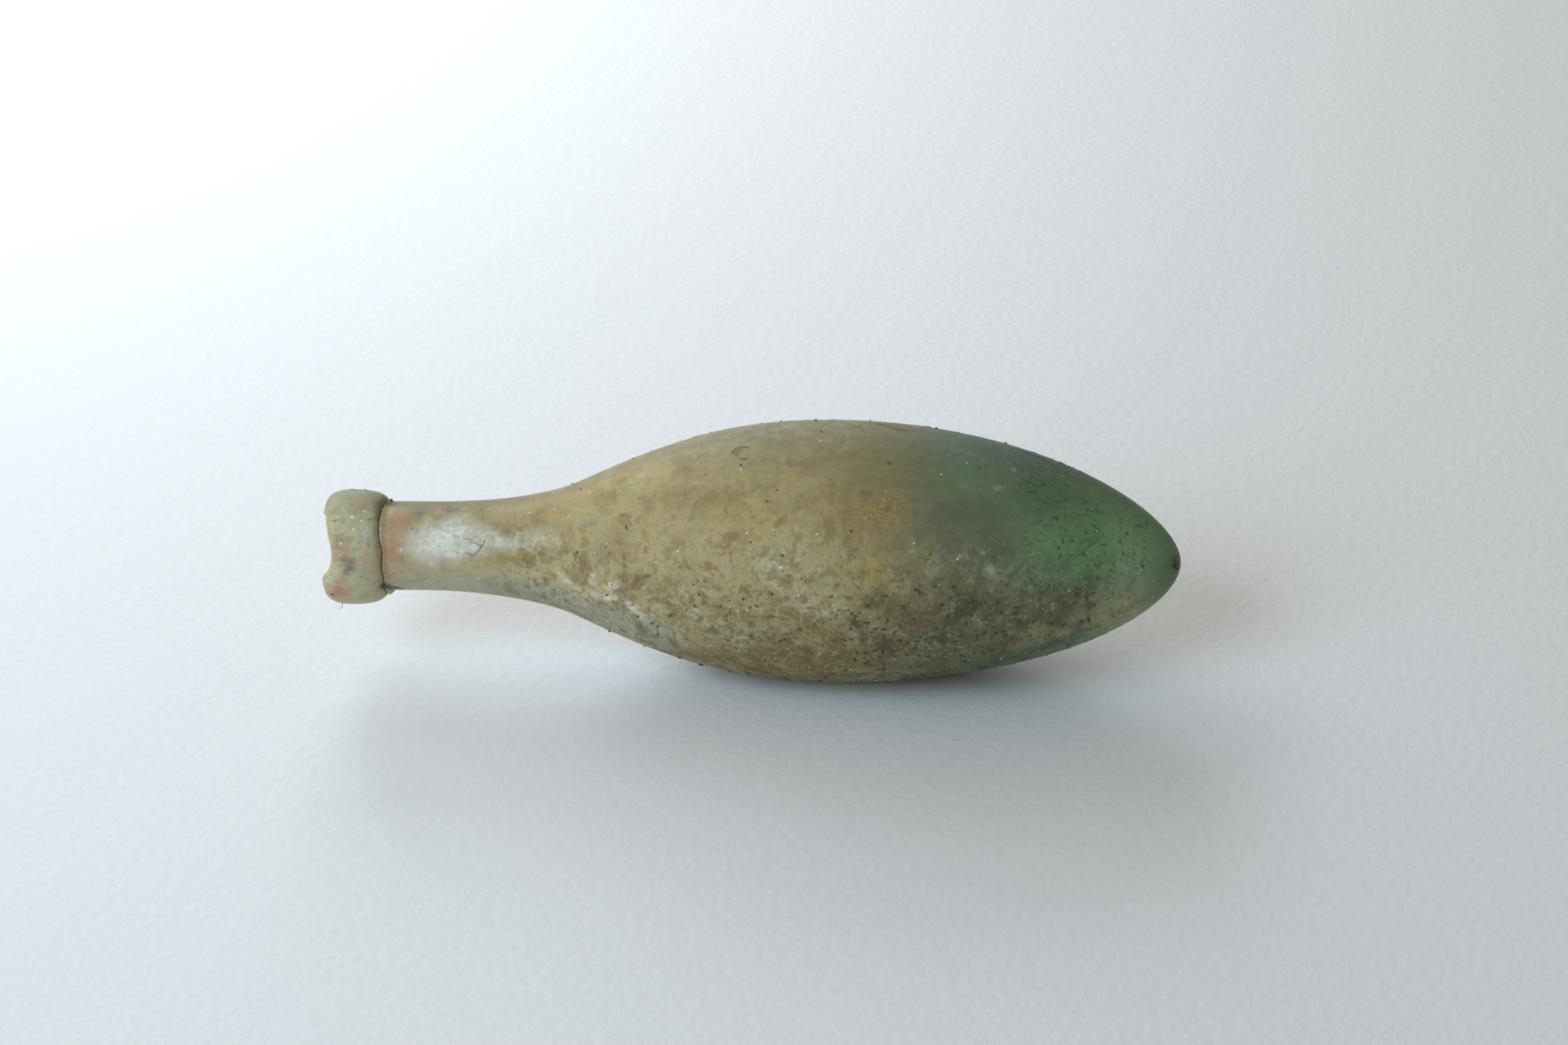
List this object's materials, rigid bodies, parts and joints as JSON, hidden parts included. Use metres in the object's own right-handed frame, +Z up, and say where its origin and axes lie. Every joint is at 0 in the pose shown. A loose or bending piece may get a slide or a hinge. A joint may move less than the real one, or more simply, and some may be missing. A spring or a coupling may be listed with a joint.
{
  "type": "torpedo bottle",
  "caption": "Hollow glass bottle with an applied lip, short neck, long ovoid body and pointed nose, lying on its belly; frosted, soil-stained and chipped at the rim.",
  "frame": {"origin": "middle of the belly's underside, in the small flat spot the bottle rests on", "axes": "+X along the bottle from its mouth to its pointed nose, +Z up"},
  "size_m": [0.222, 0.068, 0.0676],
  "materials": {
    "weathered_glass": "frosted by burial, green where the light comes through, with olive and brown soil stains"
  },
  "bodies": {
    "root": {"bottle": "weathered_glass"}
  },
  "joints": []
}
